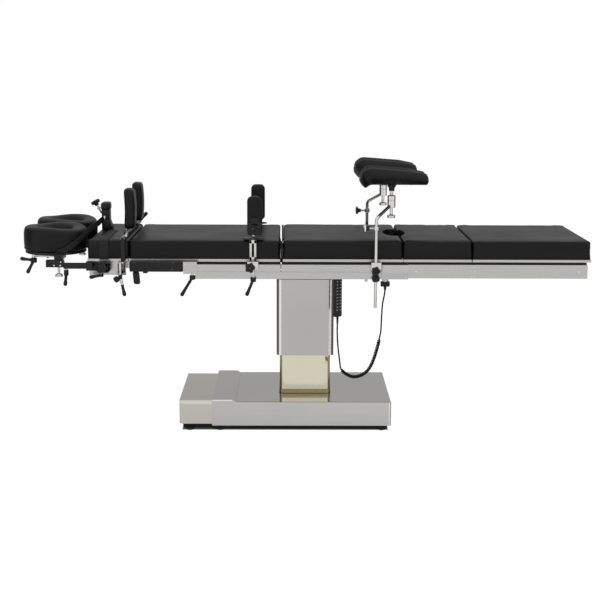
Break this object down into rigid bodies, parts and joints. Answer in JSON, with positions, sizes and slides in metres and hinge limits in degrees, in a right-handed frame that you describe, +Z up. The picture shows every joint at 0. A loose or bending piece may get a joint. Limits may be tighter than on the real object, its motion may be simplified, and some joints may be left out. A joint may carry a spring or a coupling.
{
  "type": "electric operating table",
  "caption": "Sectional operating table on a lifting column with accessory rails, side supports, knee crutches, a ring head rest and a wired hand control.",
  "frame": {"origin": "on the floor under the middle of the column", "axes": "+X towards the foot end, -X towards the head end, -Y the near side with the hand control, +Z up"},
  "size_m": [2.2191, 0.6466, 1.0448],
  "materials": {
    "steel": "fine vertical brushing",
    "champagne_steel": "champagne tone, satin",
    "chrome": "bright",
    "upholstery": "black smooth seamless upholstery",
    "black_plastic": "fine texture",
    "black_paint": "black satin",
    "rubber": "matt",
    "cast_base": "black painted casting"
  },
  "bodies": {
    "base": {"base_plinth": "cast_base", "base_cover": "steel", "base_end_cover": "steel", "foot_strip_left": "rubber", "foot_strip_right": "rubber", "mains_inlet": "black_plastic", "base_sleeve": "steel", "lift_actuator": "steel", "battery_pack": "black_plastic"},
    "mid": {"mid_sleeve": "champagne_steel"},
    "lift": {"upper_sleeve": "steel", "column_head": "cast_base", "lift_rod": "chrome"},
    "trend": {"tilt_cross": "cast_base"},
    "frame": {"chassis_frame": "steel", "seat_frame": "steel", "seat_pad": "upholstery", "hand_control": "black_plastic", "control_plug": "black_plastic", "plug_cord": "rubber", "curly_cord": "rubber", "control_cord": "rubber", "knee_clamp_near": "chrome", "knee_clamp_far": "chrome"},
    "leg": {"leg_frame": "steel", "leg_pad": "upholstery", "foot_pad": "upholstery"},
    "back": {"back_frame": "steel", "back_pad": "upholstery", "rail_box": "black_plastic", "side_clamp_near": "black_paint", "side_clamp_far": "black_paint", "side_bar_near": "chrome", "side_bar_far": "chrome"},
    "head": {"head_frame": "steel", "head_pad": "upholstery", "head_post": "black_plastic", "shoulder_bar": "black_paint", "strap_clamp": "black_paint"},
    "ring_near": {"ring_arm_near": "black_paint", "ring_pad_near": "upholstery"},
    "ring_far": {"ring_arm_far": "black_paint", "ring_pad_far": "upholstery"},
    "box_grip": {"box_grip": "rubber"},
    "back_lever": {"back_lever": "black_paint"},
    "side_pad_near": {"side_pad_near": "upholstery"},
    "side_pad_far": {"side_pad_far": "upholstery"},
    "side_lever_near": {"side_lever_near": "black_paint"},
    "side_lever_far": {"side_lever_far": "black_paint"},
    "knee_arm_near": {"knee_arm_near": "chrome"},
    "knee_arm_far": {"knee_arm_far": "chrome"},
    "knee_pad_near": {"knee_pad_near": "upholstery"},
    "knee_pad_far": {"knee_pad_far": "upholstery"},
    "shoulder_pad_near": {"shoulder_pad_near": "upholstery"},
    "shoulder_pad_far": {"shoulder_pad_far": "upholstery"},
    "shoulder_lever_near": {"shoulder_lever_near": "black_paint"},
    "shoulder_lever_far": {"shoulder_lever_far": "black_paint"},
    "ring_lever": {"ring_lever": "black_paint"},
    "strap_lever": {"strap_lever": "black_paint"},
    "post_knob": {"post_knob": "chrome"}
  },
  "joints": [
    {"name": "column_lift", "type": "slide", "parent": "base", "child": "lift", "axis": [0, 0, 1], "range_m": [-0.07, 0.23]},
    {"name": "mid_sleeve_lift", "type": "slide", "parent": "base", "child": "mid", "axis": [0, 0, 1], "range_m": [-0.035, 0.115]},
    {"name": "trend_tilt", "type": "hinge", "parent": "lift", "child": "trend", "pos_m": [0, 0, 0.65], "axis": [0, -1, 0], "range_deg": [-20, 20]},
    {"name": "side_tilt", "type": "hinge", "parent": "trend", "child": "frame", "pos_m": [0, 0, 0.65], "axis": [1, 0, 0], "range_deg": [-15, 15]},
    {"name": "back_raise", "type": "hinge", "parent": "frame", "child": "back", "pos_m": [-0.0644, 0, 0.75], "axis": [0, 1, 0], "range_deg": [0, 75]},
    {"name": "head_drop", "type": "hinge", "parent": "back", "child": "head", "pos_m": [-0.683, 0, 0.668], "axis": [0, 1, 0], "range_deg": [-45, 0]},
    {"name": "leg_drop", "type": "hinge", "parent": "frame", "child": "leg", "pos_m": [0.3775, 0, 0.632], "axis": [0, 1, 0], "range_deg": [0, 60]},
    {"name": "box_grip_swing", "type": "hinge", "parent": "back", "child": "box_grip", "pos_m": [-0.6548, -0.279, 0.6435], "axis": [1, 0, 0], "range_deg": [0, 20]},
    {"name": "back_lever_turn", "type": "hinge", "parent": "back", "child": "back_lever", "pos_m": [-0.4363, -0.2934, 0.627], "axis": [0, 0, 1], "range_deg": [-45, 45]},
    {"name": "side_pad_near_swivel", "type": "hinge", "parent": "back", "child": "side_pad_near", "pos_m": [-0.2025, -0.2435, 0.7748], "axis": [0, 0, 1], "range_deg": [-30, 30]},
    {"name": "side_pad_far_swivel", "type": "hinge", "parent": "back", "child": "side_pad_far", "pos_m": [-0.2025, 0.2435, 0.7748], "axis": [0, 0, 1], "range_deg": [-30, 30]},
    {"name": "side_lever_near_turn", "type": "hinge", "parent": "back", "child": "side_lever_near", "pos_m": [-0.2025, -0.298, 0.6195], "axis": [0, 0, 1], "range_deg": [-60, 60]},
    {"name": "side_lever_far_turn", "type": "hinge", "parent": "back", "child": "side_lever_far", "pos_m": [-0.2025, 0.298, 0.6195], "axis": [0, 0, 1], "range_deg": [-60, 60]},
    {"name": "knee_arm_near_swivel", "type": "hinge", "parent": "frame", "child": "knee_arm_near", "pos_m": [0.268, -0.302, 0.511], "axis": [0, 0, 1], "range_deg": [-25, 25]},
    {"name": "knee_arm_far_swivel", "type": "hinge", "parent": "frame", "child": "knee_arm_far", "pos_m": [0.268, 0.302, 0.511], "axis": [0, 0, 1], "range_deg": [-25, 25]},
    {"name": "knee_pad_near_swivel", "type": "hinge", "parent": "knee_arm_near", "child": "knee_pad_near", "pos_m": [0.3298, -0.225, 0.938], "axis": [0, 0, 1], "range_deg": [-30, 30]},
    {"name": "knee_pad_far_swivel", "type": "hinge", "parent": "knee_arm_far", "child": "knee_pad_far", "pos_m": [0.3298, 0.225, 0.938], "axis": [0, 0, 1], "range_deg": [-30, 30]},
    {"name": "ring_near_swing", "type": "hinge", "parent": "head", "child": "ring_near", "pos_m": [-0.95, -0.28, 0.6914], "axis": [0, 0, 1], "range_deg": [0, 60]},
    {"name": "ring_far_swing", "type": "hinge", "parent": "head", "child": "ring_far", "pos_m": [-0.95, 0.28, 0.6914], "axis": [0, 0, 1], "range_deg": [-60, 0]},
    {"name": "shoulder_pad_near_slide", "type": "slide", "parent": "head", "child": "shoulder_pad_near", "axis": [0, 1, 0], "range_m": [-0.03, 0.03]},
    {"name": "shoulder_pad_far_slide", "type": "slide", "parent": "head", "child": "shoulder_pad_far", "axis": [0, 1, 0], "range_m": [-0.03, 0.03]},
    {"name": "shoulder_lever_near_turn", "type": "hinge", "parent": "head", "child": "shoulder_lever_near", "pos_m": [-0.7115, -0.303, 0.63], "axis": [0, 0, 1], "range_deg": [-45, 45]},
    {"name": "shoulder_lever_far_turn", "type": "hinge", "parent": "head", "child": "shoulder_lever_far", "pos_m": [-0.703, 0.282, 0.774], "axis": [0, 1, 0], "range_deg": [-20, 30]},
    {"name": "ring_lever_turn", "type": "hinge", "parent": "head", "child": "ring_lever", "pos_m": [-0.9221, -0.28, 0.658], "axis": [0, 0, 1], "range_deg": [-60, 60]},
    {"name": "strap_lever_turn", "type": "hinge", "parent": "head", "child": "strap_lever", "pos_m": [-0.785, -0.298, 0.6437], "axis": [0, 0, 1], "range_deg": [-45, 45]},
    {"name": "post_knob_turn", "type": "hinge", "parent": "head", "child": "post_knob", "pos_m": [-0.827, 0.05, 0.828], "axis": [-0.4699, 0, 0.8827], "continuous": true}
  ],
  "couplings": [
    {"joint": "mid_sleeve_lift", "follows": "column_lift", "ratio": 0.5}
  ]
}
